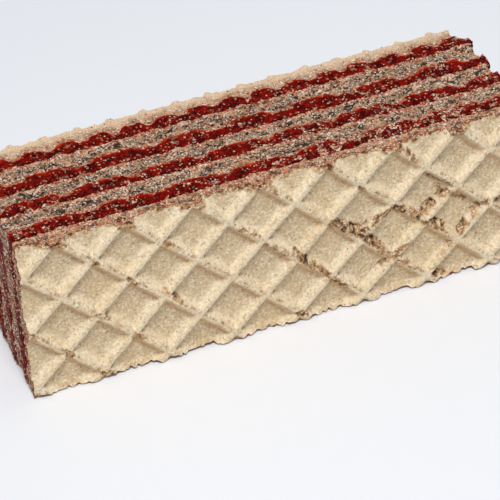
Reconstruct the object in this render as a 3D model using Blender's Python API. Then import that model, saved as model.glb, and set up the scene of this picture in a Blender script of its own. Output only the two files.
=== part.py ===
import math
from functools import partial

import bmesh
import bpy
from mathutils import Vector, geometry, noise

# One cream filled wafer, standing on a long cut side. X runs along it, Y through its layers and Z up.
# Driving dimensions, in metres
GRID = 0.0032
LENGTH = 0.0493
HEIGHT = 0.0173
DEPTH = 0.0152

# Where each sheet starts and ends, measured from the front of the wafer
SHEET_FRONT = (0.0, 0.0029, 0.0060, 0.0094, 0.0128)
SHEET_BACK = (0.0018, 0.0052, 0.0083, 0.0119, DEPTH)
SHEET_END = (0.0006, 0.0005, 0.0004, 0.0004, 0.0012)
LAYER_GAP = 0.00034

# The diamond pattern on the front of every sheet
DIAMOND_RIDGE = 0.00036
DIAMOND_WALL = 0.00057
DIAMOND_RELIEF = (0.00064, 0.00042, 0.00064, 0.00064, 0.00064)
FLOOR_DISH = 0.00016
# One crossing of the ridges on each sheet, as distances from the left end and down from the top
CROSSINGS = ((0.00365, 0.00015), (0.0013, 0.0004), (0.0003, 0.0003), (0.0030, 0.0007), (0.0026, 0.0018))

# The square pattern on the back of the last sheet
SQUARE_RIDGE = 0.00050
SQUARE_WALL = 0.00045
SQUARE_RELIEF = 0.00036
SQUARE_START_X = 0.0011
SQUARE_START_Z = 0.0027

# The sawn and broken edges, and the slow waves of the layers
SHORTEST_STEP = 0.0005
LONGEST_STEP = 0.0014
EDGE_BAND = 0.00038
SHEET_ROUGHNESS = 0.00030
CREAM_ROUGHNESS = 0.00030
CREAM_LIFT = 0.00030
FOOT_CHIP = 0.00030
CHIP_DEPTH = 0.00055
CHIP_WIDTH = 0.0013
LAYER_WARP = 0.00012
WARP_SIZE = 0.011
GRAIN_SIZE = 0.0016
SEED_STEP = 7.3
WARP_SEED = 1
CHIP_SEED = 21
SHEET_SEED = 31
CREAM_SEED = 51
MERGE = 0.000001
MILLIMETRES = 1000

WAFER_COLOUR = (0.68, 0.50, 0.30)
CREAM_COLOUR = (0.17, 0.010, 0.008)


def clear_scene():
    for item in list(bpy.data.objects):
        bpy.data.objects.remove(item, do_unlink=True)


def material(name, colour, roughness):
    made = bpy.data.materials.new(name)
    made.use_nodes = True
    shader = made.node_tree.nodes["Principled BSDF"]
    shader.inputs["Base Color"].default_value = (*colour, 1.0)
    shader.inputs["Roughness"].default_value = roughness
    shader.inputs["Metallic"].default_value = 0.0
    return made


def ramp(value):
    return min(max(value, 0.0), 1.0)


def to_nearest(value, pitch):
    """Distance to the nearest whole multiple of pitch."""
    return abs((value + pitch / 2) % pitch - pitch / 2)


def uneven(x, y, z, size, seed):
    """Smooth noise from about -1 to 1, with lumps of the given size."""
    return noise.noise(Vector((x, y, z)) / size + Vector((SEED_STEP, -SEED_STEP, 1.0)) * seed)


def warp(layer, x, z):
    return LAYER_WARP * uneven(x, 0.0, z, WARP_SIZE, WARP_SEED + layer)


def crossing_of(layer):
    from_left, from_top = CROSSINGS[layer]
    return from_left - LENGTH / 2, HEIGHT - from_top


def diamond_depth(layer, x, z):
    """How far the front of a sheet lies behind its ridge tops."""
    cross_x, cross_z = crossing_of(layer)
    pitch = GRID * math.sqrt(2)
    rising = (x - cross_x + z - cross_z) / math.sqrt(2)
    falling = (x - cross_x - z + cross_z) / math.sqrt(2)
    from_ridge = min(to_nearest(rising, pitch), to_nearest(falling, pitch))
    past_wall = from_ridge - DIAMOND_RIDGE / 2 - DIAMOND_WALL
    dish = FLOOR_DISH * ramp(past_wall / (pitch / 2 - DIAMOND_RIDGE / 2 - DIAMOND_WALL))
    return DIAMOND_RELIEF[layer] * ramp(1 + past_wall / DIAMOND_WALL) + dish


def square_depth(x, z):
    """How far the back of the last sheet lies in front of its ridge tops."""
    from_upright = to_nearest(x + LENGTH / 2 - SQUARE_START_X, GRID)
    from_ridge = min(from_upright, to_nearest(z - SQUARE_START_Z, GRID))
    return SQUARE_RELIEF * ramp((from_ridge - SQUARE_RIDGE / 2) / SQUARE_WALL)


def front_chip(x, z):
    """Ridges of the front face broken away where they meet the top and the foot."""
    cross_x, _ = crossing_of(0)
    along = to_nearest(x - cross_x, 2 * GRID)
    top = ramp(1 - along / CHIP_WIDTH) * ramp(1 - (HEIGHT - z) / CHIP_WIDTH)
    foot = ramp(1 - z / CHIP_WIDTH) * ramp(2 * uneven(x, 0.0, 0.0, GRAIN_SIZE, CHIP_SEED))
    return CHIP_DEPTH * max(top, foot)


def sheet_front(layer, x, z):
    y = SHEET_FRONT[layer] + warp(layer, x, z) + diamond_depth(layer, x, z)
    if layer == 0:
        y += front_chip(x, z)
        return min(max(y, 0.0), SHEET_BACK[0] + warp(0, x, z) - LAYER_GAP) - DEPTH / 2
    return y + LAYER_GAP / 2 - DEPTH / 2


def sheet_back(layer, x, z):
    if layer == len(SHEET_BACK) - 1:
        return DEPTH / 2 - square_depth(x, z)
    return SHEET_BACK[layer] + warp(layer, x, z) - LAYER_GAP / 2 - DEPTH / 2


def cream_front(layer, x, z):
    return sheet_back(layer, x, z) + LAYER_GAP


def cream_back(layer, x, z):
    return sheet_front(layer + 1, x, z) - LAYER_GAP


def edge_stops(guides, axis, border, start, end):
    """Places along one side of a layer: where its pattern meets the side, with long gaps halved."""
    across = 1 - axis
    met = {point[axis] for guide in guides for point in guide if abs(point[across] - border) < MERGE}
    stops = [start]
    for place in [*sorted(met), end]:
        if place - stops[-1] > LONGEST_STEP:
            stops.append((stops[-1] + place) / 2)
        if place - stops[-1] > SHORTEST_STEP and end - place > SHORTEST_STEP:
            stops.append(place)
    return stops


def edge_points(guides, area, sides):
    """Points round a layer seen from the front, each with the directions that lead into the layer."""
    left, right, foot, top = sides
    area_left, area_right, area_foot, area_top = area
    points = [(x, foot, 0, 1) for x in edge_stops(guides, 0, area_foot, left, right)]
    points += [(right, z, -1, 0) for z in edge_stops(guides, 1, area_right, foot, top)]
    points += [(x, top, 0, -1) for x in [right, *edge_stops(guides, 0, area_top, left, right)[:0:-1]]]
    points += [(left, z, 1, 0) for z in [top, *edge_stops(guides, 1, area_left, foot, top)[:0:-1]]]
    corners = {(left, foot): (1, 1), (right, foot): (-1, 1), (right, top): (-1, -1), (left, top): (1, -1)}
    return [(x, z, *corners.get((x, z), side)) for x, z, *side in points]


def sheet_inset(layer, ring, x, z, to_foot):
    grain = uneven(x, ring * GRAIN_SIZE, z, GRAIN_SIZE, SHEET_SEED + layer)
    if to_foot:
        return FOOT_CHIP * ramp(2 * grain - 0.5)
    return SHEET_ROUGHNESS * (0.5 + 0.5 * grain)


def cream_inset(layer, ring, x, z, to_foot):
    grain = uneven(x, ring * GRAIN_SIZE, z, GRAIN_SIZE, CREAM_SEED + layer)
    return CREAM_ROUGHNESS * (0.5 + 0.5 * grain)


def outline(layer, ring, inset, points):
    """The rough outline of one layer, as (x, z) points."""
    found = []
    for x, z, inward_x, inward_z in points:
        end_move = inset(layer, ring, x, z, False)
        edge_move = inset(layer, ring, x, z, inward_z > 0)
        found.append((x + inward_x * end_move, z + inward_z * edge_move))
    return found


def clip(polygon, axis, limit, keep_above):
    """The part of a convex polygon on one side of an axis-aligned line."""
    kept = []
    for index, point in enumerate(polygon):
        before = polygon[index - 1]
        inside = (point[axis] > limit) == keep_above
        if inside != ((before[axis] > limit) == keep_above):
            share = (limit - before[axis]) / (point[axis] - before[axis])
            kept.append(tuple(before[side] + share * (point[side] - before[side]) for side in (0, 1)))
        if inside:
            kept.append(point)
    return kept


def inner_area(layer):
    """The area that lies clear of the rough outlines of a sheet and of the cream on its front."""
    half = LENGTH / 2
    return -half + EDGE_BAND, half - SHEET_END[layer] - EDGE_BAND, CREAM_LIFT + EDGE_BAND, HEIGHT - EDGE_BAND


def clipped(polygon, area):
    for axis, limit, keep_above in zip((0, 0, 1, 1), area, (True, False, True, False)):
        if polygon:
            polygon = clip(polygon, axis, limit, keep_above)
    return polygon


def diamond_cells(layer, insets, area):
    """Rings inside each diamond cell, at each distance from the middle of its ridges."""
    cross_x, cross_z = crossing_of(layer)
    columns = range(-2, math.ceil(LENGTH / GRID) + 2)
    rows = range(-math.ceil(HEIGHT / GRID) - 2, 3)
    rings = []
    for column in columns:
        for row in rows:
            if (column + row) % 2 == 0:
                continue
            x = cross_x + column * GRID
            z = cross_z + row * GRID
            for inset in insets:
                reach = GRID - inset * math.sqrt(2)
                corners = [(x + reach, z), (x, z + reach), (x - reach, z), (x, z - reach)]
                rings.append(clipped(corners, area))
    return [ring for ring in rings if len(ring) > 2]


def square_cells(insets, area):
    first_x = SQUARE_START_X - LENGTH / 2
    around = ((-1, -1), (1, -1), (1, 1), (-1, 1))
    rings = []
    for column in range(-1, math.ceil(LENGTH / GRID) + 1):
        for row in range(-1, math.ceil(HEIGHT / GRID) + 1):
            x = first_x + (column + 0.5) * GRID
            z = SQUARE_START_Z + (row + 0.5) * GRID
            for inset in insets:
                reach = GRID / 2 - inset
                corners = [(x + side_x * reach, z + side_z * reach) for side_x, side_z in around]
                rings.append(clipped(corners, area))
    return [ring for ring in rings if len(ring) > 2]


def add_side(mesh, edge, guides, area, height, faces_back):
    """Fills a rough outline with triangles that follow the guide rings, lifted to their height."""
    flat = [Vector(point) * MILLIMETRES for point in edge]
    count = len(flat)
    lines = [(index, (index + 1) % count) for index in range(count)]
    for guide in guides:
        first = len(flat)
        flat += [Vector(point) * MILLIMETRES for point in guide]
        lines += [(first + index, first + (index + 1) % len(guide)) for index in range(len(guide))]
    points, _, triangles, sources, _, _ = geometry.delaunay_2d_cdt(flat, lines, [], 1, MERGE * MILLIMETRES)
    made = []
    ring = {}
    left, right, foot, top = area
    for point, source in zip(points, sources):
        x, z = point / MILLIMETRES
        y = height(min(max(x, left), right), min(max(z, foot), top))
        made.append(mesh.verts.new((x, y, z)))
        ring.update({index: made[-1] for index in source if index < count})
    for triangle in triangles:
        order = reversed(triangle) if faces_back else triangle
        mesh.faces.new([made[index] for index in order])
    return [ring[index] for index in range(count)]


def add_middle(mesh, edge, first, second):
    """A row of points half way between the front and the back of a cut side."""
    return [mesh.verts.new((x, (a.co.y + b.co.y) / 2, z)) for (x, z), a, b in zip(edge, first, second)]


def add_wall(mesh, first, second):
    count = len(first)
    for index in range(count):
        after = (index + 1) % count
        mesh.faces.new((first[index], second[index], second[after]))
        mesh.faces.new((first[index], second[after], first[after]))


def layer_object(name, mesh, finish):
    bmesh.ops.recalc_face_normals(mesh, faces=mesh.faces)
    data = bpy.data.meshes.new(name)
    mesh.to_mesh(data)
    mesh.free()
    data.materials.append(finish)
    made = bpy.data.objects.new(name, data)
    bpy.context.scene.collection.objects.link(made)
    return made


def closed_layer(layer, area, sides, inset, front, front_guides, back, back_guides):
    """A front, a back and a rough cut side between them."""
    mesh = bmesh.new()
    points = edge_points(front_guides or back_guides, area, sides)
    edges = [outline(layer, ring, inset, points) for ring in range(3)]
    front_ring = add_side(mesh, edges[0], front_guides, area, partial(front, layer), False)
    back_ring = add_side(mesh, edges[2], back_guides, area, partial(back, layer), True)
    middle = add_middle(mesh, edges[1], front_ring, back_ring)
    add_wall(mesh, front_ring, middle)
    add_wall(mesh, middle, back_ring)
    return mesh


def wafer_sheet(layer, finish):
    area = inner_area(layer)
    foot = DIAMOND_RIDGE / 2 + DIAMOND_WALL
    insets = (DIAMOND_RIDGE / 2, foot, foot + GRID / 4) if layer == 0 else (0.0, foot)
    front_guides = diamond_cells(layer, insets, area)
    back_guides = []
    if layer == len(SHEET_BACK) - 1:
        back_guides = square_cells((SQUARE_RIDGE / 2, SQUARE_RIDGE / 2 + SQUARE_WALL), area)
    sides = (-LENGTH / 2, LENGTH / 2 - SHEET_END[layer], 0.0, HEIGHT)
    mesh = closed_layer(layer, area, sides, sheet_inset, sheet_front, front_guides, sheet_back, back_guides)
    layer_object(f"sheet_{layer + 1}", mesh, finish)


def cream_layer(layer, finish):
    area = inner_area(layer + 1)
    back_guides = diamond_cells(layer + 1, (0.0, DIAMOND_RIDGE / 2 + DIAMOND_WALL), area)
    sides = (-LENGTH / 2, LENGTH / 2, CREAM_LIFT, HEIGHT)
    mesh = closed_layer(layer, area, sides, cream_inset, cream_front, [], cream_back, back_guides)
    layer_object(f"cream_{layer + 1}", mesh, finish)


def build():
    clear_scene()
    wafer = material("wafer", WAFER_COLOUR, 0.85)
    cream = material("cream", CREAM_COLOUR, 0.45)
    for layer in range(len(SHEET_FRONT)):
        wafer_sheet(layer, wafer)
    for layer in range(len(SHEET_FRONT) - 1):
        cream_layer(layer, cream)


build()
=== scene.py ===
import math

import bmesh
import bpy
import numpy as np
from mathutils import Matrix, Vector, geometry


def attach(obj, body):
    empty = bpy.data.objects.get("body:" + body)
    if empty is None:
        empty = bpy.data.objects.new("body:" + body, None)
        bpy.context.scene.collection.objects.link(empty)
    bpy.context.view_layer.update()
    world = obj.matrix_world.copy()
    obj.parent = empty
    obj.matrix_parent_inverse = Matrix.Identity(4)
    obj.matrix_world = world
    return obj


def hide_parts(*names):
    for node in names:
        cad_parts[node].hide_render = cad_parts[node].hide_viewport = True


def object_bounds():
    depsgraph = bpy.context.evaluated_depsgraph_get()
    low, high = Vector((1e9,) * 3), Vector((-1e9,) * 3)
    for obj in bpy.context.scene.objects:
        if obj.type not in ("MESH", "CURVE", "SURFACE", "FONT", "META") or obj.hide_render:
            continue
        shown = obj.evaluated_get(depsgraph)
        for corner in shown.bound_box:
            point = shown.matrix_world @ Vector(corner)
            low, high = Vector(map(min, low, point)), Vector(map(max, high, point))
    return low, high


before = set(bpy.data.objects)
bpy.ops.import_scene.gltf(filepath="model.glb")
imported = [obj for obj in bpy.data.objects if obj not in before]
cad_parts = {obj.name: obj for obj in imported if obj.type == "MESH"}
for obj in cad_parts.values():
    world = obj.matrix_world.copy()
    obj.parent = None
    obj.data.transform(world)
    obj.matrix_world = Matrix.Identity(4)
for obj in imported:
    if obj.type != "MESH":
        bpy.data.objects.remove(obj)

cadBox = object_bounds()

# The whole wafer in metres: x runs along it, y through its layers from the front, z up
wafer = {
    "length": 0.0493,
    "height": 0.0173,
    "depth": 0.0152,
    "grid": 0.0032,          # side of a pattern cell, measured along a cut side
    "sheetFronts": (0.0, 0.0029, 0.0060, 0.0094, 0.0128),
    "sheetBacks": (0.0018, 0.0052, 0.0083, 0.0119, 0.0152),
    "sheetEnds": (0.0006, 0.0005, 0.0004, 0.0004, 0.0012),   # how far the cream runs past each sheet
    "crossings": ((0.00365, 0.00015), (0.0013, 0.0004), (0.0003, 0.0003), (0.0030, 0.0007), (0.0026, 0.0018)),
    "reliefs": (0.00064, 0.00042, 0.00064, 0.00064, 0.00064),   # of each sheet's diamonds
    "paleness": (0.2, 0.0, 0.0, 0.0, 1.0),   # of each sheet's sawn side
    "tint": (1.0, 0.35, 0.25, 0.35, 0.15),   # how orange each sheet's sawn side is
    "dust": (1.0, 0.8, 0.25, 0.2),           # wafer dust on each cream's sawn side
    "dustRise": (-0.006, 0.004),             # x between which the dust grows to its full amount
    "dustLeast": 0.25,
    "creamFoot": 0.0003,     # that the cream stays above the floor
    "waveHeight": 0.00012,   # slow waves of the layers
    "waveSize": 0.011,
    "strayCoarse": 0.0013,   # sizes of the bays in the borders between the layers
    "strayFine": 0.00045,
    "thinnest": 0.00025,     # that a worn sheet is left
    "clearance": 0.00001,    # to the front and back of the CAD box
}
halfLength = wafer["length"] / 2
halfDepth = wafer["depth"] / 2
root2 = math.sqrt(2)


# Small helpers for node trees: a Flow is one output that can be added, scaled and compared

class Flow:
    def __init__(self, tree, socket):
        self.tree = tree
        self.socket = socket

    def __add__(self, other):
        return calc("ADD", self, other)

    def __sub__(self, other):
        return calc("SUBTRACT", self, other)

    def __rsub__(self, other):
        return calc("SUBTRACT", other, self)

    def __mul__(self, other):
        return calc("MULTIPLY", self, other)

    def __truediv__(self, other):
        return calc("DIVIDE", self, other)

    def __rtruediv__(self, other):
        return calc("DIVIDE", other, self)

    __radd__ = __add__
    __rmul__ = __mul__


def plug(tree, socket, value):
    if isinstance(value, Flow):
        tree.links.new(value.socket, socket)
    else:
        socket.default_value = value


def calc(operation, *values):
    tree = next(value.tree for value in values if isinstance(value, Flow))
    node = tree.nodes.new("ShaderNodeMath")
    node.operation = operation
    for socket, value in zip(node.inputs, values):
        plug(tree, socket, value)
    return Flow(tree, node.outputs[0])


def addNode(tree, kind, inputs, **settings):
    node = tree.nodes.new(kind)
    for name, value in settings.items():
        setattr(node, name, value)
    for name, value in inputs.items():
        plug(tree, node.inputs[name], value)
    return node


def smallest(first, second):
    return calc("MINIMUM", first, second)


def largest(first, second):
    return calc("MAXIMUM", first, second)


def rise(value, start, end, curve="SMOOTHSTEP"):
    # 0 before start, 1 past end
    node = value.tree.nodes.new("ShaderNodeMapRange")
    node.interpolation_type = curve
    for socket, given in zip(node.inputs, (value, start, end)):
        plug(value.tree, socket, given)
    return Flow(value.tree, node.outputs[0])


def blend(amount, first, second):
    return first + amount * (second - first)


def vector(x, y, z):
    tree = next(value.tree for value in (x, y, z) if isinstance(value, Flow))
    node = tree.nodes.new("ShaderNodeCombineXYZ")
    for socket, value in zip(node.inputs, (x, y, z)):
        plug(tree, socket, value)
    return Flow(tree, node.outputs[0])


def split(place):
    node = place.tree.nodes.new("ShaderNodeSeparateXYZ")
    plug(place.tree, node.inputs[0], place)
    return [Flow(place.tree, socket) for socket in node.outputs]


def stretched(place, x, y, z):
    node = place.tree.nodes.new("ShaderNodeVectorMath")
    node.operation = "MULTIPLY"
    plug(place.tree, node.inputs[0], place)
    node.inputs[1].default_value = (x, y, z)
    return Flow(place.tree, node.outputs[0])


def cloudy(place, size, seed, detail=1.0, roughness=0.5):
    # Soft noise, about 0.2 to 0.8, with lumps of the given size
    inputs = {"Vector": place, "W": seed, "Scale": 1 / size, "Detail": detail, "Roughness": roughness}
    node = addNode(place.tree, "ShaderNodeTexNoise", inputs, noise_dimensions="4D")
    return Flow(place.tree, node.outputs[0])


def bubbles(place, size, seed, spread=1.0):
    # Distance to the nearest bubble's middle, 0 there and about 0.5 between bubbles
    inputs = {"Vector": place, "W": seed, "Scale": 1 / size, "Randomness": spread}
    node = addNode(place.tree, "ShaderNodeTexVoronoi", inputs, voronoi_dimensions="4D")
    return Flow(place.tree, node.outputs["Distance"])


def grains(place, size, seed):
    # A chance number from 0 to 1 for each grain
    inputs = {"Vector": place, "W": seed, "Scale": 1 / size}
    node = addNode(place.tree, "ShaderNodeTexVoronoi", inputs, voronoi_dimensions="4D")
    return split(Flow(place.tree, node.outputs["Color"]))[0]


def paint(red, green, blue):
    # A colour as a paint program shows it, made linear
    shares = [value / 255 for value in (red, green, blue)]
    return (*[s / 12.92 if s < 0.04045 else ((s + 0.055) / 1.055) ** 2.4 for s in shares], 1.0)


def coat(amount, under, over):
    # Colour "over" laid on "under" by the given amount
    node = amount.tree.nodes.new("ShaderNodeMix")
    node.data_type = "RGBA"
    for socket, value in zip((node.inputs[0], node.inputs[6], node.inputs[7]), (amount, under, over)):
        plug(amount.tree, socket, value)
    return Flow(amount.tree, node.outputs[2])


def shared(tree, name):
    node = tree.nodes.new("ShaderNodeAttribute")
    node.attribute_name = name
    return Flow(tree, node.outputs["Fac"])


def startMaterial(name, roughness):
    made = bpy.data.materials.new(name)
    made.use_nodes = True
    tree = made.node_tree
    shader = tree.nodes["Principled BSDF"]
    shader.inputs["Roughness"].default_value = roughness
    place = Flow(tree, tree.nodes.new("ShaderNodeTexCoord").outputs["Object"])
    return made, shader, place


def finishMaterial(shader, colour, height, bumpDepth, strength=1.0):
    tree = shader.id_data
    plug(tree, shader.inputs["Base Color"], colour)
    bump = addNode(tree, "ShaderNodeBump", {"Height": height, "Distance": bumpDepth, "Strength": strength})
    tree.links.new(bump.outputs[0], shader.inputs["Normal"])


# Pressed faces: sizes of the grain in metres, then colours

faceLook = {
    "grainSize": 0.00030,
    "blotchSize": 0.0042,
    "mottleSize": 0.0011,
    "breakSize": 0.0006,
    "fleckSize": 0.00017,
    "speckSize": 0.00014,
    "speckPatch": 0.0009,
    "poreSize": 0.00018,
    "porePatch": 0.0010,
    "wornGrain": 0.00017,
    "wornPit": 0.0005,
    "bumpDepth": 0.00010,
    # Painted light and shade: the up-facing walls and ridge tops are painted lighter, as lit from above, and
    # the floors darker, as in shade
    "litWall": paint(232, 213, 180),
    "floor": paint(208, 184, 147),
    "toasted": paint(220, 190, 142),
    "shaded": paint(196, 170, 130),
    "darkGrain": paint(176, 146, 104),
    "lightGrain": paint(242, 228, 200),
    "darkFleck": paint(140, 106, 68),
    "lightFleck": paint(250, 240, 220),
    # Painted shade under the ridges, a soft band and a thin line
    "softCrease": paint(194, 142, 88),
    "thinCrease": paint(112, 74, 40),
    "speck": paint(128, 92, 58),
    "crest": paint(196, 150, 102),
    # Painted shade in the pores
    "poreShade": paint(122, 88, 54),
    "wornLight": paint(206, 166, 120),
    "wornDark": paint(164, 120, 78),
    "wornBrown": paint(100, 70, 44),
    "wornCrumb": paint(236, 218, 190),
    # Painted shade in the worn pits
    "hole": paint(70, 46, 30),
}


def pressedWaferMaterial():
    made, shader, place = startMaterial("pressedWafer", 0.78)
    tree = made.node_tree
    look = faceLook
    crest = shared(tree, "crest")
    worn = shared(tree, "wornNow")
    grain = cloudy(place, look["grainSize"], 3, 3.0, 0.7)
    blotch = cloudy(place, look["blotchSize"], 5, 2.0)
    mottle = cloudy(place, look["mottleSize"], 7, 1.0)
    broken = rise(cloudy(place, look["breakSize"], 8, 2.0), 0.34, 0.56)
    chance = grains(place, look["fleckSize"], 9)
    # Painted light on the up-facing walls and ridge tops, painted shade on the floors
    colour = coat(shared(tree, "floor"), look["litWall"], look["floor"])
    colour = coat(rise(blotch, 0.40, 0.70) * 0.35, colour, look["toasted"])
    colour = coat(rise(mottle, 0.50, 0.75) * 0.30, colour, look["shaded"])
    colour = coat(rise(grain, 0.51, 0.58) * 0.28, colour, look["darkGrain"])
    colour = coat(rise(grain, 0.49, 0.42) * 0.34, colour, look["lightGrain"])
    colour = coat(rise(chance, 0.80, 0.90) * 0.22, colour, look["darkFleck"])
    colour = coat(rise(chance, 0.18, 0.10) * 0.40, colour, look["lightFleck"])
    # Painted shade: brown lines under the ridges, where the ridges meet the floors
    soft = shared(tree, "softCrease") * (0.25 + 0.35 * broken)
    thin = rise(shared(tree, "thinCrease"), 0.2, 0.9) * (0.50 + 0.50 * broken)
    colour = coat(soft, colour, look["softCrease"])
    colour = coat(thin, colour, look["thinCrease"])
    # Specks, and pores with painted shade in them, mostly on the ridge tops
    some = rise(cloudy(place, look["speckPatch"], 13), 0.46, 0.60)
    specks = rise(grains(place, look["speckSize"], 11), 0.92, 0.96) * largest(some * 0.6, crest)
    colour = coat(specks * 0.75, colour, look["speck"])
    patch = rise(cloudy(place, look["porePatch"], 18, 2.0), 0.46, 0.58) * crest
    colour = coat(patch * 0.45, colour, look["crest"])
    # Dark pores: painted shade in the holes
    pores = rise(grains(place, look["poreSize"], 17), 0.60, 0.70) * patch
    colour = coat(pores * 0.75, colour, look["poreShade"])
    # Where the skin is worn off, with painted shade in its pits
    chipped = grains(place, look["wornGrain"], 19)
    pit = cloudy(place, look["wornPit"], 20, 2.0)
    brown = coat(rise(pit, 0.40, 0.60), look["wornLight"], look["wornDark"])
    brown = coat(rise(chipped, 0.30, 0.20) * 0.7, brown, look["wornBrown"])
    brown = coat(rise(chipped, 0.80, 0.88) * 0.8, brown, look["wornCrumb"])
    colour = coat(rise(worn, 0.05, 0.50) * 0.90, colour, brown)
    # Painted shade in the pits of the worn patches
    holes = rise(pit, 0.53, 0.60) * rise(worn, 0.35, 0.75)
    colour = coat(holes * 0.85, colour, look["hole"])
    height = grain + specks * -0.8 + mottle * 0.4 + pores * -0.7 + worn * chipped * 1.2
    finishMaterial(shader, colour, height, look["bumpDepth"])
    shader.inputs["Specular IOR Level"].default_value = 0.2
    return made


# Sawn sides of the sheets

sawnLook = {
    "lumpSize": 0.0009,
    "grainSize": 0.00015,
    "warmSize": 0.0008,
    "stainSize": 0.0008,
    "smearSize": 0.0010,
    "greySize": 0.0008,
    "poreSize": 0.0007,
    "gapSize": 0.00045,
    "lightSize": 0.00014,
    "crumbSize": 0.00020,
    "layering": (0.55, 1.0, 0.55),   # stretches the gaps along the sheet
    "bumpDepth": 0.00020,
    "light": paint(218, 176, 142),
    "dark": paint(182, 134, 102),
    "warm": paint(194, 122, 78),
    "stain": paint(186, 84, 44),
    "smear": paint(176, 84, 58),
    "grey": paint(146, 122, 100),
    # Painted shade in the pores and gaps
    "poreShade": paint(76, 52, 38),
    "blackPoreShade": paint(24, 20, 18),
    "gapShade": paint(44, 38, 34),
    "whiteGrain": paint(246, 232, 216),
    "bleached": paint(238, 214, 182),
    "creamCrumb": paint(150, 30, 12),
    "hollow": paint(34, 26, 20),
}


def sawnWaferMaterial():
    made, shader, place = startMaterial("sawnWafer", 0.9)
    tree = made.node_tree
    look = sawnLook
    through = shared(tree, "through")
    hollow = shared(tree, "hollow")
    pale = shared(tree, "paleness")
    tint = shared(tree, "tint")
    dull = 1 - pale
    inner = rise(smallest(through, 1 - through), 0.06, 0.32)
    lump = cloudy(place, look["lumpSize"], 25, 2.0)
    chance = grains(place, look["grainSize"], 23)
    layered = stretched(place, *look["layering"])
    colour = coat(rise(lump, 0.40, 0.60), look["light"], look["dark"])
    warm = rise(cloudy(place, look["warmSize"], 26, 2.0), 0.30, 0.60)
    colour = coat(tint * (0.35 + 0.65 * warm) * 0.75, colour, look["warm"])
    # Cream that stains the side next to it
    stain = rise(through, 0.26, 0.0) * rise(cloudy(place, look["stainSize"], 34, 2.0), 0.34, 0.56)
    colour = coat(stain * (0.30 + 0.55 * dull), colour, look["stain"])
    smear = rise(through, 0.60, 0.98) * rise(cloudy(place, look["smearSize"], 33, 2.0), 0.50, 0.62)
    colour = coat(smear * dull * 0.6, colour, look["smear"])
    # Grey, open middle of the sheet, with painted shade in its pores and gaps
    grey = inner * rise(cloudy(layered, look["greySize"], 27, 2.0), 0.36, 0.52) * dull
    colour = coat(grey * (0.85 - 0.6 * tint), colour, look["grey"])
    often = rise(cloudy(place, look["poreSize"], 24, 2.0), 0.38, 0.60) * (0.35 + 0.65 * inner) * dull
    # Dark and black pores: painted shade in the holes
    dark = rise(chance, 0.10 + 0.42 * often, 0.06 + 0.36 * often) * (0.45 + 0.55 * dull)
    colour = coat(dark * 0.8, colour, look["poreShade"])
    blackPoreShade = rise(chance, 0.16 * often + 0.01, 0.12 * often) * dull
    colour = coat(blackPoreShade, colour, look["blackPoreShade"])
    # Dark gaps along the sheet: painted shade in the open layers
    gapShade = rise(cloudy(layered, look["gapSize"], 29, 2.0, 0.6), 0.56, 0.61) * inner * dull
    colour = coat(gapShade * 0.85, colour, look["gapShade"])
    light = rise(grains(place, look["lightSize"], 31), 0.80, 0.86)
    colour = coat(light * 0.75, colour, look["whiteGrain"])
    bleach = rise(through, 0.25, 0.85) * pale
    colour = coat(bleach * 0.75, colour, look["bleached"])
    # Specks of cream near both borders
    behind = rise(grains(place, look["crumbSize"], 35) * rise(through, 0.50, 0.98), 0.72, 0.78) * dull
    ahead = rise(grains(place, look["crumbSize"], 36) * rise(through, 0.40, 0.04), 0.72, 0.78)
    colour = coat(largest(behind, ahead) * 0.85, colour, look["creamCrumb"])
    # Painted shade in the opened bubbles
    colour = coat(hollow * dull * 0.8, colour, look["hollow"])
    height = chance * 0.8 + lump + light * 0.5 + gapShade * -1.0
    finishMaterial(shader, colour, height, look["bumpDepth"])
    shader.inputs["Specular IOR Level"].default_value = 0.08
    return made


# Red cream, seen where it is sawn

creamLook = {
    "lumpSize": 0.0010,
    "grainSize": 0.00017,
    "rimSize": 0.0006,
    "fleckSize": 0.00020,
    "dustSize": 0.0009,
    "bumpDepth": 0.00014,
    "redness": (1.0, 0.12, 0.06),   # how far each colour of light goes in
    "lightDepth": 0.0003,
    "light": paint(128, 8, 2),
    "dark": paint(66, 2, 1),
    "lightGrain": paint(160, 30, 12),
    "darkGrain": paint(42, 2, 1),
    "thin": paint(150, 22, 6),
    "rim": paint(198, 56, 20),
    "fleck": paint(196, 120, 92),
    "darkDust": paint(112, 46, 32),
    "dust": paint(204, 150, 122),
    "lightDust": paint(242, 218, 196),
    "hollow": paint(30, 2, 1),
}


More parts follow.
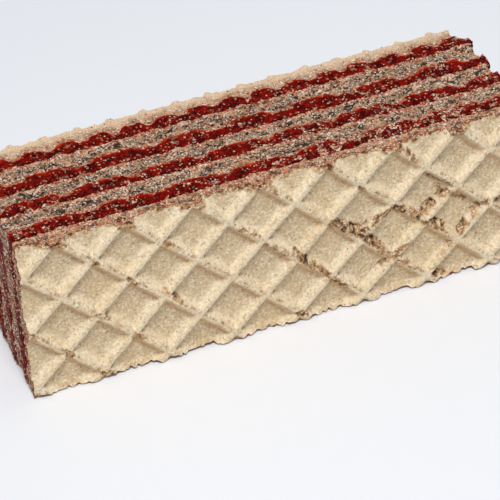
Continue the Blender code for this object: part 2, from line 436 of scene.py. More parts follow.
def creamMaterial():
    made, shader, place = startMaterial("redCream", 0.6)
    tree = made.node_tree
    look = creamLook
    dust = shared(tree, "dust")
    lump = cloudy(place, look["lumpSize"], 45, 2.0)
    chance = grains(place, look["grainSize"], 43)
    colour = coat(rise(lump, 0.36, 0.60), look["light"], look["dark"])
    colour = coat(rise(chance, 0.78, 0.86) * 0.5, colour, look["lightGrain"])
    colour = coat(rise(chance, 0.24, 0.16) * 0.6, colour, look["darkGrain"])
    # The cream is thin, so brighter, where it ends on the sheet behind it
    rim = shared(tree, "through") + 0.9 * (cloudy(place, look["rimSize"], 47, 2.0) - 0.5)
    colour = coat(rise(rim, 0.70, 0.94) * 0.6, colour, look["thin"])
    colour = coat(rise(rim, 0.92, 1.08) * 0.75, colour, look["rim"])
    fleck = rise(grains(place, look["fleckSize"], 49), 0.93, 0.96)
    colour = coat(fleck * 0.7, colour, look["fleck"])
    # Wafer dust left by the saw
    drift = cloudy(place, look["dustSize"], 51, 3.0, 0.7) + dust * 0.07
    cover = rise(drift, 0.585, 0.63) * rise(dust, 0.0, 0.1)
    speckled = coat(rise(chance, 0.30, 0.40), look["darkDust"], look["dust"])
    speckled = coat(rise(chance, 0.78, 0.86), speckled, look["lightDust"])
    colour = coat(cover * 0.9, colour, speckled)
    # Painted shade in the opened bubbles
    colour = coat(shared(tree, "hollow") * 0.6, colour, look["hollow"])
    finishMaterial(shader, colour, chance * 0.5 + lump + cover, look["bumpDepth"])
    shader.inputs["Specular IOR Level"].default_value = 0.06
    shader.inputs["Subsurface Weight"].default_value = 0.1
    shader.inputs["Subsurface Radius"].default_value = look["redness"]
    shader.inputs["Subsurface Scale"].default_value = look["lightDepth"]
    return made


# Crumbs, each kind in its own two colours

crumbLook = {
    "mottleSize": 0.0004,
    "grainSize": 0.00012,
    "bumpDepth": 0.00004,
}


def crumbMaterial(name, light, dark, roughness):
    made, shader, place = startMaterial(name, roughness)
    mottle = cloudy(place, crumbLook["mottleSize"], 53, 1.0)
    colour = coat(rise(mottle, 0.35, 0.65), light, dark)
    grain = cloudy(place, crumbLook["grainSize"], 55)
    finishMaterial(shader, colour, grain, crumbLook["bumpDepth"])
    return made


# Blanks: flat slabs with fine points, x and z in metres and y from 0 at the front to 1 at the back

blank = {
    "edgeStep": 0.000115,   # between points along the cut sides
    "pressedStep": 0.000133,
    "hiddenStep": 0.00045,
    "reach": 0.06,          # past every corner of a slab
    "margin": 0.7,          # edge steps from the border to the nearest inner point
    "millimetre": 1000,     # the caps are cut up in millimetres
    "closest": 0.0001,
}


def borderPoints(left, right, foot, top):
    across = np.linspace(left, right, round((right - left) / blank["edgeStep"]) + 1)
    up = np.linspace(foot, top, round((top - foot) / blank["edgeStep"]) + 1)
    points = [(x, foot) for x in across[:-1]]
    points += [(right, z) for z in up[:-1]]
    points += [(x, top) for x in across[:0:-1]]
    points += [(left, z) for z in up[:0:-1]]
    return points


def innerPoints(left, right, foot, top, step, middle, turned):
    # A square grid of points through "middle", turned by an eighth of a turn where the ridges run that way
    reach = int(blank["reach"] / step)
    first, second = np.meshgrid(np.arange(-reach, reach + 1), np.arange(-reach, reach + 1))
    x, z = first * step, second * step
    if turned:
        x, z = (x + z) / root2, (z - x) / root2
    x = x + middle[0]
    z = z + middle[1]
    margin = blank["edgeStep"] * blank["margin"]
    inside = (x > left + margin) & (x < right - margin) & (z > foot + margin) & (z < top - margin)
    return list(zip(x[inside].tolist(), z[inside].tolist()))


def capOf(border, inner):
    # Triangles over one side of a slab, and the new numbers of the border's points
    flat = [Vector(point) * blank["millimetre"] for point in border + inner]
    count = len(border)
    lines = [(index, (index + 1) % count) for index in range(count)]
    cut = geometry.delaunay_2d_cdt(flat, lines, [], 1, blank["closest"])
    points, _, triangles, sources, _, _ = cut
    ring = {number: index for index, source in enumerate(sources) for number in source if number < count}
    places = [point / blank["millimetre"] for point in points]
    return places, triangles, [ring[number] for number in range(count)]


def slabBlank(name, sides, rows, front, back):
    border = borderPoints(*sides)
    points = []
    faces = []
    rings = []
    for depth, (step, middle, turned) in ((0.0, front), (1.0, back)):
        cap, triangles, ring = capOf(border, innerPoints(*sides, step, middle, turned))
        start = len(points)
        points += [(x, depth, z) for x, z in cap]
        turn = -1 if depth else 1
        faces += [tuple(start + index for index in triangle[::turn]) for triangle in triangles]
        rings.append([start + index for index in ring])
    sideStart = len(faces)
    between = []
    for row in range(1, rows):
        start = len(points)
        points += [(x, row / rows, z) for x, z in border]
        between.append(list(range(start, start + len(border))))
    rings = [rings[0], *between, rings[1]]
    count = len(border)
    for near, far in zip(rings, rings[1:]):
        for index in range(count):
            after = (index + 1) % count
            faces.append((near[index], far[index], far[after], near[after]))
    mesh = bpy.data.meshes.new(name)
    mesh.from_pydata(points, [], faces)
    cutSide = mesh.attributes.new("cutSide", "BOOLEAN", "FACE")
    cutSide.data.foreach_set("value", np.arange(len(faces)) >= sideStart)
    return mesh


# Worn stretches of the front face's ridges: each runs from one (along, down) to another, in grid
# cells, and has a width and a strength
wornRidges = (
    ((9.25, 2.25), (10.1, 2.88), 0.13, 1.0),
    ((10.1, 2.88), (10.75, 3.65), 0.12, 0.9),
    ((10.3, 2.75), (11.2, 2.25), 0.09, 0.7),
    ((11.2, 2.3), (11.95, 2.9), 0.13, 0.9),
    ((11.95, 2.9), (12.65, 3.5), 0.13, 1.0),
    ((12.0, 2.85), (12.65, 2.35), 0.11, 0.9),
    ((8.1, 2.95), (8.9, 3.9), 0.10, 0.9),
    ((8.9, 3.9), (9.6, 4.7), 0.09, 0.7),
    ((10.7, 3.7), (11.8, 4.7), 0.10, 0.6),
    ((10.6, 4.4), (11.6, 3.7), 0.07, 0.55),
    ((12.6, 2.1), (13.4, 2.8), 0.09, 0.5),
    ((13.2, 3.9), (13.7, 3.3), 0.10, 0.6),
    ((12.3, 4.9), (12.9, 4.2), 0.07, 0.4),
    ((13.9, 3.1), (14.5, 3.1), 0.12, 0.6),
    ((6.5, 1.55), (6.9, 1.85), 0.07, 0.6),
    ((7.2, 2.3), (7.8, 2.9), 0.07, 0.45),
    ((4.2, 2.95), (4.6, 3.5), 0.08, 0.6),
    ((11.4, 0.2), (11.9, 0.9), 0.09, 0.7),
    ((7.25, 0.1), (7.6, 0.6), 0.08, 0.6),
    ((12.2, 1.5), (13.0, 2.1), 0.07, 0.5),
    ((2.1, 1.2), (2.25, 1.3), 0.08, 0.6),
    ((4.25, 1.2), (4.45, 1.4), 0.08, 0.7),
    ((3.1, 2.1), (3.3, 2.4), 0.07, 0.6),
    ((2.0, 3.0), (2.45, 3.3), 0.08, 0.5),
    ((3.1, 4.15), (3.3, 4.35), 0.10, 0.6),
    ((1.1, 4.1), (1.25, 4.3), 0.10, 0.6),
    ((2.05, 5.1), (2.35, 5.4), 0.10, 0.8),
    ((8.1, 5.1), (8.3, 5.3), 0.10, 0.8),
    ((12.4, 5.2), (12.7, 5.35), 0.10, 0.7),
    ((10.1, 1.2), (10.25, 1.4), 0.07, 0.6),
    ((0.0, 3.0), (0.3, 3.3), 0.08, 0.6),
)
brokenCrossings = {   # at the top cut edge, in grid cells
    "first": 1.14,
    "apart": 2.0,
    "count": 8,
    "begin": (-0.18, 0.10),
    "end": (0.22, 0.22),
    "width": 0.19,
    "strength": 0.75,
}
rowOfTop = 5.50   # grid cells from the foot up to where "down" starts
wornFade = 1.6    # widths from a stretch's middle out to where its wear ends


def wornAmount(x, z):
    amount = np.zeros(len(x))
    grid = wafer["grid"]
    broken = brokenCrossings
    chips = []
    for number in range(broken["count"]):
        along = broken["first"] + number * broken["apart"]
        ends = [(along + across, down) for across, down in (broken["begin"], broken["end"])]
        chips.append((*ends, broken["width"], broken["strength"]))
    for begin, end, width, strength in (*wornRidges, *chips):
        x1, x2 = (begin[0] * grid - halfLength, end[0] * grid - halfLength)
        z1, z2 = ((rowOfTop - begin[1]) * grid, (rowOfTop - end[1]) * grid)
        longX, longZ = x2 - x1, z2 - z1
        share = np.clip(((x - x1) * longX + (z - z1) * longZ) / (longX ** 2 + longZ ** 2), 0, 1)
        away = np.hypot(x - x1 - share * longX, z - z1 - share * longZ)
        amount = np.maximum(amount, strength * np.clip(wornFade - away / (width * grid), 0, 1))
    return amount


# Geometry Nodes: one tree presses the pattern into a slab and saws its sides

patternSizes = {
    "grid": wafer["grid"],
    "ridgeWidth": 0.00026,
    "wallWidth": 0.00062,
    "cornerRound": 0.00030,
    "dish": 0.00014,
    "wander": 0.00008,
    "wanderSize": 0.0021,
    "footFade": 0.0010,      # height over which the pattern is flattened at the foot
    "footKeep": 0.45,
    "ragged": 0.00024,       # how far the sheets' and creams' borders stray
    "squareAlong": 0.0011,
    "squareUp": 0.0027,
    "squareRidge": 0.00036,
    "squareWall": 0.00034,
}
squareRelief = 0.00034

wearAndShade = {
    "lossLeast": 0.00006,    # depth that a worn ridge has lost
    "lossMost": 0.00034,
    "lossGrain": 0.0004,
    "wornPatch": 0.0007,
    "rimHeight": 0.0009,     # of the chipped rim along the top cut edge
    "rimWhole": 0.0001,
    "rimPatch": 0.0009,
    "skinGrain": 0.0005,
    # The brown lines are painted shade under the ridges
    "thinPast": 0.00006,     # how far the brown lines run out from the ridges' feet
    "softPast": 0.00030,
}

sawnSizes = {
    "lumpSize": 0.0016,
    "lumpDepth": 0.00020,
    "bubbleSize": 0.00055,
    "bubbleDepth": 0.00030,
    "grainSize": 0.00032,
    "grainDepth": 0.00016,
    "reach": 0.0009,
    "innerLoss": 0.00006,
    "toothSize": 0.00070,
    "toothDepth": 0.00026,
}
creamSizes = {
    "lumpSize": 0.0011,
    "lumpDepth": 0.00020,
    "bubbleSize": 0.00080,
    "bubbleDepth": 0.00018,
    "grainSize": 0.00028,
    "grainDepth": 0.00008,
    "reach": 0.0009,
    "innerLoss": 0.0,
    "toothSize": 0.0005,
    "toothDepth": 0.0,
}


def startTree(name, sizes):
    tree = bpy.data.node_groups.new(name, "GeometryNodeTree")
    tree.is_modifier = True
    tree.interface.new_socket("Geometry", in_out="INPUT", socket_type="NodeSocketGeometry")
    for label, size in sizes.items():
        kind = "NodeSocketInt" if isinstance(size, int) else "NodeSocketFloat"
        made = tree.interface.new_socket(label, in_out="INPUT", socket_type=kind)
        made.default_value = size
    tree.interface.new_socket("Geometry", in_out="OUTPUT", socket_type="NodeSocketGeometry")
    entry = tree.nodes.new("NodeGroupInput")
    return tree, {socket.name: Flow(tree, socket) for socket in entry.outputs if socket.name}


def endTree(tree, shape, finishes):
    # Realizes the instances and sets each material on its faces
    real = addNode(tree, "GeometryNodeRealizeInstances", {"Geometry": shape})
    shape = Flow(tree, real.outputs[0])
    for finish, chosen in finishes:
        inputs = {"Geometry": shape, "Material": finish}
        if chosen:
            inputs["Selection"] = chosen
        shape = Flow(tree, addNode(tree, "GeometryNodeSetMaterial", inputs).outputs[0])
    plug(tree, tree.nodes.new("NodeGroupOutput").inputs[0], shape)


def named(tree, name, kind="FLOAT"):
    node = addNode(tree, "GeometryNodeInputNamedAttribute", {"Name": name}, data_type=kind)
    return Flow(tree, node.outputs[0])


def kept(tree, shape, name, value):
    # Keeps a value on the points for the materials to read
    inputs = {"Geometry": shape, "Name": name, "Value": value}
    node = addNode(tree, "GeometryNodeStoreNamedAttribute", inputs, data_type="FLOAT", domain="POINT")
    return Flow(tree, node.outputs[0])


def sawnInset(at, inner, given):
    # How far a cut side lies in from the slab's own side, and where its bubbles open
    seed = given["seed"]
    lumps = cloudy(at, given["lumpSize"], seed)
    grain = cloudy(at, given["grainSize"], seed + 3.1)
    mouths = cloudy(at, given["bubbleSize"] * 2.5, seed + 6.2)
    cell = bubbles(at, given["bubbleSize"], seed + 9.3)
    hole = rise(cell, 0.42, 0.16) * rise(mouths, 0.42, 0.56)
    inset = given["lumpDepth"] * rise(lumps, 0.25, 0.75, "LINEAR")
    inset = inset + given["grainDepth"] * rise(grain, 0.3, 0.7, "LINEAR")
    inset = inset + given["bubbleDepth"] * hole * (0.4 + inner * 0.6)
    return inset + given["innerLoss"] * inner, hole


def sawnSides(x, t, z, given):
    # Moves points near a cut side inwards, and gives the mask of the opened bubbles, which get painted shade
    y = blend(t, given["front"], given["back"])
    inner = rise(smallest(t, 1 - t), 0.05, 0.25)
    left, leftHole = sawnInset(vector(given["left"], y, z), inner, given)
    right, rightHole = sawnInset(vector(given["right"], y, z), inner, given)
    foot, footHole = sawnInset(vector(x, y, given["foot"]), inner, given)
    top, topHole = sawnInset(vector(x, y, given["top"]), inner, given)
    tooth = cloudy(vector(x, y, given["seed"]), given["toothSize"], given["seed"] + 12.4)
    foot = foot * given["footShare"] + given["toothDepth"] * rise(tooth, 0.42, 0.62)
    nearLeft = rise(x - given["left"], given["reach"], 0.0, "LINEAR")
    nearRight = rise(given["right"] - x, given["reach"], 0.0, "LINEAR")
    nearFoot = rise(z - given["foot"], given["reach"], 0.0, "LINEAR")
    nearTop = rise(given["top"] - z, given["reach"], 0.0, "LINEAR")
    movedX = x + left * nearLeft - right * nearRight
    movedZ = z + foot * nearFoot - top * nearTop
    holes = ((nearLeft, leftHole), (nearRight, rightHole), (nearFoot, footHole), (nearTop, topHole))
    hollow = None
    for near, hole in holes:
        shown = rise(near, 0.8, 1.0) * hole
        hollow = shown if hollow is None else largest(hollow, shown)
    return movedX, movedZ, hollow


def wave(x, z, seed):
    # The slow waves that the layers share
    return wafer["waveHeight"] * 2 * (cloudy(vector(x, 0.0, z), wafer["waveSize"], seed) - 0.5)


def border(x, z, amount, seed):
    # How far the border between a sheet and a cream strays
    coarse = cloudy(vector(x, 0.0, z), wafer["strayCoarse"], seed)
    fine = cloudy(vector(x, 0.0, z), wafer["strayFine"], seed + 0.5)
    return amount * (2.4 * (coarse - 0.5) + 1.8 * (fine - 0.5))


def diamondPattern(x, z, given):
    # Depth below the ridge tops, and how far past each kind of ridge a point lies
    pitch = given["grid"] * root2
    wanderX = given["wander"] * 2 * (cloudy(vector(x, 1.0, z), given["wanderSize"], given["seed"]) - 0.5)
    wanderZ = given["wander"] * 2 * (cloudy(vector(x, 2.0, z), given["wanderSize"], given["seed"]) - 0.5)
    alongX = x - given["crossX"] + wanderX
    alongZ = z - given["crossZ"] + wanderZ
    falling = (alongX + alongZ) / root2
    rising = (alongX - alongZ) / root2
    fromFalling = calc("PINGPONG", falling, pitch / 2)
    fromRising = calc("PINGPONG", rising, pitch / 2)
    fromRidge = calc("SMOOTH_MIN", fromFalling, fromRising, given["cornerRound"])
    edge = given["ridgeWidth"] / 2
    foot = edge + given["wallWidth"]
    drop = rise(fromRidge, edge, foot)
    depth = given["relief"] * drop + given["dish"] * rise(fromRidge, foot, pitch / 2, "LINEAR")
    depth = depth * (given["footKeep"] + (1 - given["footKeep"]) * rise(z, 0.0, given["footFade"]))
    return depth, falling, rising


def underRidge(across, pitch, start, end, side):
    # 1 in a thin band on one side of a ridge line
    past = calc("WRAP", across, pitch / 2, pitch * -0.5) * side
    middle = (start + end) / 2
    half = (end - start) / 2
    return rise(calc("ABSOLUTE", past - middle), half, 0.0)


def squarePattern(x, z, given):
    fromUp = calc("PINGPONG", x + halfLength - given["squareAlong"], given["grid"] / 2)
    fromAcross = calc("PINGPONG", z - given["squareUp"], given["grid"] / 2)
    fromRidge = calc("SMOOTH_MIN", fromUp, fromAcross, given["cornerRound"])
    edge = given["squareRidge"] / 2
    return given["squareRelief"] * rise(fromRidge, edge, edge + given["squareWall"])


# What each layer sets for itself, with the values it has where the layer doesn't
layerStart = {
    "seed": 0.0,
    "front": 0.0,
    "back": 0.001,
    "frontSeed": 0.0,
    "backSeed": 0.0,
    "crossX": 0.0,
    "crossZ": 0.0,
    "relief": 0.0,
    "squareRelief": 0.0,
    "frontBorder": 0.0,
    "backBorder": 0.0,
    "frontRagged": 0.0,
    "backRagged": 0.0,
    "roughness": 0.00003,
    "footShare": 1.0,
    "paleness": 0.0,
    "tint": 0.0,
    "dust": 0.0,
    "chipped": 0.0,
    "left": 0.0,
    "right": 0.0,
    "foot": 0.0,
    "top": 0.0,
}


def faceMarks(t, falling, rising, given):
    # Where the front face has floors, creases and ridge tops: masks for the painted light on the up-facing
    # walls and ridge tops, the painted shade on the floors and in the creases, and the specks and pore
    # patches on the ridge tops
    pitch = given["grid"] * root2
    wide = given["wallWidth"]
    edge = given["ridgeWidth"] / 2
    end = edge + wide
    onFront = rise(t, 0.1, 0.0, "LINEAR")
    # Bands of painted shade under the two kinds of ridge
    thin = underRidge(rising, pitch, edge + wide * 0.45, end + wearAndShade["thinPast"], 1.0)
    soft = underRidge(falling, pitch, edge + wide * 0.15, end + wearAndShade["softPast"], -1.0)
    crest = underRidge(falling, pitch, edge * -0.5, edge * 3.0, 1.0)
    nearFalling = rise(calc("PINGPONG", falling, pitch / 2), edge, end * 0.9)
    nearRising = rise(calc("PINGPONG", rising, pitch / 2), edge, end * 0.9)
    upperLeft = calc("WRAP", rising, pitch / 2, pitch * -0.5) * -1.0
    upperRight = calc("WRAP", falling, pitch / 2, pitch * -0.5)
    # The up-facing walls and ridge tops, which get the painted light; the rest of the face gets the floors'
    # painted shade
    arms = [
        rise(past, edge + wide * 2.0, edge + wide * 0.8) * rise(past, edge * -2.0, 0.0)
        for past in (upperLeft, upperRight)
    ]
    return {
        "floor": (1 - largest(*arms)) * onFront,
        "thinCrease": thin * nearFalling * onFront,
        "softCrease": soft * nearRising * onFront,
        "crest": crest * nearRising * onFront,
    }


def sheetTree(faceFinish, sideFinish):
    tree, given = startTree("pressedSheet", {**patternSizes, **sawnSizes, **layerStart})
    x, t, z = split(Flow(tree, tree.nodes.new("GeometryNodeInputPosition").outputs[0]))
    movedX, movedZ, hollow = sawnSides(x, t, z, given)
    depth, falling, rising = diamondPattern(movedX, movedZ, given)
    worn = named(tree, "worn")
    flat = vector(movedX, 0.0, movedZ)
    rough = rise(cloudy(flat, wearAndShade["lossGrain"], 71), 0.35, 0.6)
    rim = rise(given["top"] - z, wearAndShade["rimHeight"], wearAndShade["rimWhole"], "LINEAR")
    rim = rim * rise(cloudy(flat, wearAndShade["rimPatch"], 72), 0.46, 0.60)
    wornNow = worn * rise(cloudy(flat, wearAndShade["wornPatch"], 73), 0.34, 0.52)
    wornNow = largest(wornNow, rim * given["chipped"])
    lost = wornNow * (wearAndShade["lossLeast"] + wearAndShade["lossMost"] * rough)
    skin = given["roughness"] * 2 * (cloudy(flat, wearAndShade["skinGrain"], 75) - 0.5)
    frontY = given["front"] + wave(movedX, movedZ, given["frontSeed"]) + depth + lost + skin
    frontY = frontY + border(x, z, given["frontRagged"], given["frontBorder"])
    frontY = largest(frontY, wafer["clearance"] - halfDepth)
    backY = given["back"] + wave(movedX, movedZ, given["backSeed"])
    backY = backY - squarePattern(movedX, movedZ, given) + skin
    backY = backY + border(x, z, given["backRagged"], given["backBorder"])
    backY = smallest(backY, halfDepth - wafer["clearance"])
    frontY = smallest(frontY, backY - wafer["thinnest"])
    # The marks are kept before the points move, while y still runs from 0 to 1
    marks = {
        "through": t,
        "hollow": hollow,
        "paleness": given["paleness"] * (0.6 + 0.4 * t),
        "tint": given["tint"],
        **faceMarks(t, falling, rising, given),
        "wornNow": wornNow,
    }
    shape = given["Geometry"]
    for name, value in marks.items():
        shape = kept(tree, shape, name, value)
    moved = {"Geometry": shape, "Position": vector(movedX, blend(t, frontY, backY), movedZ)}
    shape = Flow(tree, addNode(tree, "GeometryNodeSetPosition", moved).outputs[0])
    cutSide = named(tree, "cutSide", "BOOLEAN")
    endTree(tree, shape, ((faceFinish, None), (sideFinish, cutSide)))
    return tree


def creamTree(finish):
    tree, given = startTree("spreadCream", {**patternSizes, **creamSizes, **layerStart})
    x, t, z = split(Flow(tree, tree.nodes.new("GeometryNodeInputPosition").outputs[0]))
    movedX, movedZ, hollow = sawnSides(x, t, z, given)
    depth, _, _ = diamondPattern(movedX, movedZ, given)
    frontY = given["front"] + wave(movedX, movedZ, given["frontSeed"])
    frontY = frontY + border(x, z, given["frontRagged"], given["frontBorder"])
    backY = given["back"] + wave(movedX, movedZ, given["backSeed"]) + depth
    backY = backY + border(x, z, given["backRagged"], given["backBorder"])
    shape = kept(tree, given["Geometry"], "through", t)
    shape = kept(tree, shape, "hollow", hollow)
    dusty = blend(rise(x, *wafer["dustRise"], "LINEAR"), wafer["dustLeast"], 1.0)
    shape = kept(tree, shape, "dust", given["dust"] * dusty)
    moved = {"Geometry": shape, "Position": vector(movedX, blend(t, frontY, backY), movedZ)}
    shape = Flow(tree, addNode(tree, "GeometryNodeSetPosition", moved).outputs[0])
    endTree(tree, shape, ((finish, None),))
    return tree


def grown(name, start, tree, values):
    # Runs a tree over a start mesh and keeps the result as a plain mesh
    piece = bpy.data.objects.new(name, start)
    bpy.context.scene.collection.objects.link(piece)
    modifier = piece.modifiers.new("shape", "NODES")
    modifier.node_group = tree
    for socket in tree.interface.items_tree:
        if socket.in_out == "INPUT" and socket.name in values:
            modifier[socket.identifier] = values[socket.name]
    graph = bpy.context.evaluated_depsgraph_get()
    finished = piece.evaluated_get(graph)
    plain = bpy.data.meshes.new_from_object(finished, preserve_all_data_layers=True, depsgraph=graph)
    piece.modifiers.remove(modifier)
    piece.data = plain
    return piece


def crossingOf(layer):
    fromLeft, fromTop = wafer["crossings"][layer]
    return fromLeft - halfLength, wafer["height"] - fromTop


def makeSheet(layer, tree):
    last = layer == len(wafer["sheetFronts"]) - 1
    crossX, crossZ = crossingOf(layer)
    low, high = cadBox
    sides = (low[0], high[0] - wafer["sheetEnds"][layer], low[2], high[2])
    fine = (blank["pressedStep"], (crossX, crossZ), True)
    coarse = (blank["hiddenStep"], (0.0, 0.0), False)
    squareCrossing = (patternSizes["squareAlong"] - halfLength, patternSizes["squareUp"])
    square = (blank["pressedStep"], squareCrossing, False)
    front = wafer["sheetFronts"][layer]
    back = wafer["sheetBacks"][layer]
    rows = round((back - front) / blank["edgeStep"])
    frontPoints = coarse if layer else fine
    backPoints = square if last else coarse
    start = slabBlank(f"sheetBlank{layer + 1}", sides, rows, frontPoints, backPoints)
    worn = start.attributes.new("worn", "FLOAT", "POINT")
    places = np.empty(len(start.vertices) * 3)
    start.vertices.foreach_get("co", places)
    places = places.reshape(-1, 3)
    amount = wornAmount(places[:, 0], places[:, 2]) * (places[:, 1] == 0)
    worn.data.foreach_set("value", (amount if layer == 0 else amount * 0).astype(np.float32))
    # Neighbours share a seed where they meet, so that their borders stray alike
    values = {
        "seed": 10.0 + layer,
        "front": front - halfDepth,
        "back": back - halfDepth,
        "frontSeed": 100.0 + layer,
        "backSeed": 100.0 + layer,
        "frontBorder": 299.0 + 2 * layer,
        "backBorder": 300.0 + 2 * layer,
        "frontRagged": patternSizes["ragged"] if layer else 0.0,
        "backRagged": 0.0 if last else patternSizes["ragged"],
        "crossX": crossX,
        "crossZ": crossZ,
        "relief": wafer["reliefs"][layer],
        "squareRelief": squareRelief if last else 0.0,
        "footShare": 0.9,
        "paleness": wafer["paleness"][layer],
        "tint": wafer["tint"][layer],
        "chipped": 0.0 if layer else 1.0,
        **dict(zip(("left", "right", "foot", "top"), sides)),
    }
    return grown(f"waferSheet{layer + 1}", start, tree, values)


def makeCream(layer, tree):
    crossX, crossZ = crossingOf(layer + 1)
    low, high = cadBox
    sides = (low[0], high[0], low[2] + wafer["creamFoot"], high[2])
    coarse = (blank["hiddenStep"], (0.0, 0.0), False)
    front = wafer["sheetBacks"][layer]
    back = wafer["sheetFronts"][layer + 1]
    rows = round((back - front + wafer["reliefs"][layer + 1]) / blank["edgeStep"])
    start = slabBlank(f"creamBlank{layer + 1}", sides, rows, coarse, coarse)
    values = {
        "seed": 30.0 + layer,
        "front": front - halfDepth,
        "back": back - halfDepth,
        "frontSeed": 100.0 + layer,
        "backSeed": 101.0 + layer,
        "frontBorder": 300.0 + 2 * layer,
        "backBorder": 301.0 + 2 * layer,
        "frontRagged": patternSizes["ragged"],
        "backRagged": patternSizes["ragged"],
        "crossX": crossX,
        "crossZ": crossZ,
        "relief": wafer["reliefs"][layer + 1],
        "dust": wafer["dust"][layer],
        **dict(zip(("left", "right", "foot", "top"), sides)),
    }
    return grown(f"creamLayer{layer + 1}", start, tree, values)


# Crumbs left by the saw: each kind is one piece, scattered over the cut sides of its own layers

crumbKinds = {
    "creamCrumbs": {
        "on": "waferSheet",
        "slot": "cream",
        "density": 0.8e6,
        "smallest": 0.00003,
        "largest": 0.00011,
        "seed": 3,
        "light": paint(150, 26, 12),
        "dark": paint(176, 62, 34),
        "roughness": 0.6,
    },
    "waferCrumbs": {
        "on": "creamLayer",
        "slot": "wafer",
        "density": 1.3e6,
        "smallest": 0.00003,
        "largest": 0.00012,
        "seed": 5,
        "light": paint(224, 186, 150),
        "dark": paint(176, 140, 104),
        "roughness": 0.85,
    },
    # Near-white grains on the sheets' cut sides, standing in for tiny glints: painted glints
    "paleGrains": {
        "on": "waferSheet",
        "slot": "wafer",
        "density": 0.9e6,
        "smallest": 0.00003,
        "largest": 0.00007,
        "seed": 7,
        "light": paint(248, 242, 232),
        "dark": paint(226, 214, 196),
        "roughness": 0.5,
    },
}
crumbMargin = 0.00002     # what the crumbs keep from the faces of the CAD box
crumbLumpSize = 0.00012   # of the bumps on each crumb
crumbStart = {
    "density": 1.0e6,        # crumbs on each square metre
    "smallest": 0.0001,
    "largest": 0.0002,
    "lumpDepth": 0.00012,
    "seed": 1,
}


def vectorCalc(operation, first, second=(0.0, 0.0, 0.0)):
    node = first.tree.nodes.new("ShaderNodeVectorMath")
    node.operation = operation
    plug(first.tree, node.inputs[0], first)
    plug(first.tree, node.inputs[1], second)
    return Flow(first.tree, node.outputs[0])


def randomVector(tree, least, most, seed):
    node = tree.nodes.new("FunctionNodeRandomValue")
    node.data_type = "FLOAT_VECTOR"
    plug(tree, node.inputs[0], least)
    plug(tree, node.inputs[1], most)
    plug(tree, node.inputs["Seed"], seed)
    return Flow(tree, node.outputs[0])


def crumbTree(name, finish):
    tree, given = startTree(name, crumbStart)
    up = split(Flow(tree, tree.nodes.new("GeometryNodeInputNormal").outputs[0]))[2]
    sawn = calc("GREATER_THAN", rise(up, -0.6, -0.5) * named(tree, "cutSide", "BOOLEAN"), 0.5)
    spread = addNode(tree, "GeometryNodeDistributePointsOnFaces", {
        "Mesh": given["Geometry"], "Selection": sawn, "Density": given["density"], "Seed": given["seed"],
    })
    cube = addNode(tree, "GeometryNodeMeshCube", {"Vertices X": 3, "Vertices Y": 3, "Vertices Z": 3})
    place = Flow(tree, tree.nodes.new("GeometryNodeInputPosition").outputs[0])
    crumb = addNode(tree, "GeometryNodeSetPosition", {
        "Geometry": Flow(tree, cube.outputs[0]), "Position": vectorCalc("NORMALIZE", place),
    })
    full = (math.tau, math.tau, math.tau)
    many = addNode(tree, "GeometryNodeInstanceOnPoints", {
        "Points": Flow(tree, spread.outputs[0]),
        "Instance": Flow(tree, crumb.outputs[0]),
        "Rotation": randomVector(tree, (0.0, 0.0, 0.0), full, given["seed"]),
        "Scale": randomVector(tree, given["smallest"], given["largest"], given["seed"] + 11),
    })
    real = addNode(tree, "GeometryNodeRealizeInstances", {"Geometry": Flow(tree, many.outputs[0])})
    lumpy = {"Vector": place, "Scale": 1 / crumbLumpSize}
    broken = addNode(tree, "ShaderNodeTexNoise", lumpy, noise_dimensions="3D")
    shift = vectorCalc("SUBTRACT", Flow(tree, broken.outputs[1]), (0.5, 0.5, 0.5))
    scaled = tree.nodes.new("ShaderNodeVectorMath")
    scaled.operation = "SCALE"
    plug(tree, scaled.inputs[0], shift)
    plug(tree, scaled.inputs["Scale"], given["lumpDepth"])
    low, high = [tuple(Vector(corner)) for corner in cadBox]
    moved = vectorCalc("ADD", place, Flow(tree, scaled.outputs[0]))
    moved = vectorCalc("MAXIMUM", moved, tuple(value + crumbMargin for value in low))
    moved = vectorCalc("MINIMUM", moved, tuple(value - crumbMargin for value in high))
    shape = addNode(tree, "GeometryNodeSetPosition", {
        "Geometry": Flow(tree, real.outputs[0]), "Position": moved,
    })
    endTree(tree, Flow(tree, shape.outputs[0]), ((finish, None),))
    return tree


def makeCrumbs(layers):
    for name, kind in crumbKinds.items():
        finish = crumbMaterial(name, kind["light"], kind["dark"], kind["roughness"])
        tree = crumbTree(name, finish)
        joined = bmesh.new()
        for number, layer in enumerate(layers):
            if layer.name.startswith(kind["on"]):
                values = {**kind, "seed": kind["seed"] + number}
                part = grown(f"{name}{number}", layer.data, tree, values)
                joined.from_mesh(part.data)
                bpy.data.objects.remove(part)
        mesh = bpy.data.meshes.new(name)
        joined.to_mesh(mesh)
        joined.free()
        mesh.materials.append(finish)
        piece = bpy.data.objects.new(name, mesh)
        bpy.context.scene.collection.objects.link(piece)
        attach(piece, "root")
        print(name, "scattered:", len(piece.data.polygons), "faces")


# Floor, light and camera

studio = {
    "cameraPlace": (-0.06795, -0.1901, 0.16765),
    "cameraTurn": (50.849, 2.613, -21.667),   # degrees about x, y and z
    "lens": 200.2,
    "clipStart": 0.01,
    "floorReach": 1.5,
    "floorLight": paint(240, 242, 246),
    "floorDark": paint(236, 239, 244),
    "floorToneSize": 0.08,
    "floorBump": 0.0001,
    "floorBumpStrength": 0.1,
    "keyPlace": (-0.07, -0.24, 0.54),
    "keySize": 0.20,
    "keyPower": 2.80,
    "skyStrength": 0.32,
    "skyColour": (0.95, 0.97, 1.0, 1.0),
}


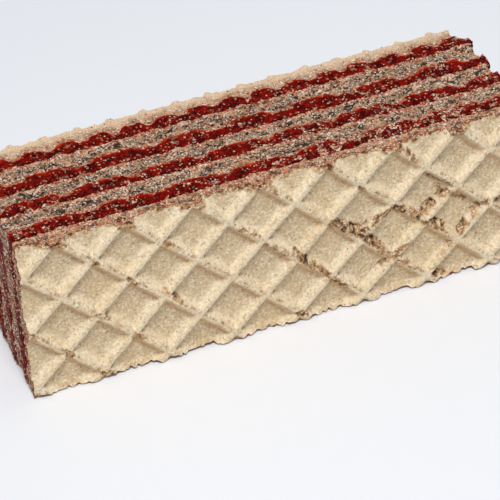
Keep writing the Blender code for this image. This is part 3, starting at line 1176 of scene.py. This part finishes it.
def makeFloor():
    reach = studio["floorReach"]
    mesh = bpy.data.meshes.new("paleFloor")
    corners = [(-reach, -reach, 0), (reach, -reach, 0), (reach, reach, 0), (-reach, reach, 0)]
    mesh.from_pydata(corners, [], [(0, 1, 2, 3)])
    floor = bpy.data.objects.new("paleFloor", mesh)
    bpy.context.scene.collection.objects.link(floor)
    made, shader, place = startMaterial("paleFloor", 0.6)
    tone = rise(cloudy(place, studio["floorToneSize"], 91, 1.0), 0.3, 0.7)
    colour = coat(tone, studio["floorLight"], studio["floorDark"])
    finishMaterial(shader, colour, tone, studio["floorBump"], studio["floorBumpStrength"])
    mesh.materials.append(made)


def makeStudio():
    scene = bpy.context.scene
    scene.view_settings.view_transform = "Standard"
    lamp = bpy.data.lights.new("softKey", "AREA")
    lamp.shape = "DISK"
    lamp.size = studio["keySize"]
    lamp.energy = studio["keyPower"]
    key = bpy.data.objects.new("softKey", lamp)
    scene.collection.objects.link(key)
    key.location = studio["keyPlace"]
    key.rotation_euler = (-key.location).to_track_quat("-Z", "Y").to_euler()
    world = bpy.data.worlds.new("softSky")
    world.use_nodes = True
    sky = world.node_tree.nodes["Background"]
    sky.inputs["Color"].default_value = studio["skyColour"]
    sky.inputs["Strength"].default_value = studio["skyStrength"]
    scene.world = world
    eye = bpy.data.cameras.new("camera")
    eye.lens = studio["lens"]
    eye.clip_start = studio["clipStart"]
    camera = bpy.data.objects.new("camera", eye)
    scene.collection.objects.link(camera)
    camera.location = studio["cameraPlace"]
    camera.rotation_euler = [math.radians(turn) for turn in studio["cameraTurn"]]
    scene.camera = camera


def makeWafer():
    pressedSheet = sheetTree(pressedWaferMaterial(), sawnWaferMaterial())
    spreadCream = creamTree(creamMaterial())
    pieces = []
    for layer in range(len(wafer["sheetFronts"])):
        piece = makeSheet(layer, pressedSheet)
        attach(piece, "root")
        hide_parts(f"sheet_{layer + 1}")
        pieces.append(piece)
        print("sheet", layer + 1, "pressed and sawn:", len(piece.data.polygons), "faces")
    for layer in range(len(wafer["sheetFronts"]) - 1):
        piece = makeCream(layer, spreadCream)
        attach(piece, "root")
        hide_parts(f"cream_{layer + 1}")
        pieces.append(piece)
        print("cream", layer + 1, "spread:", len(piece.data.polygons), "faces")
    return pieces


makeFloor()
makeStudio()
makeCrumbs(makeWafer())
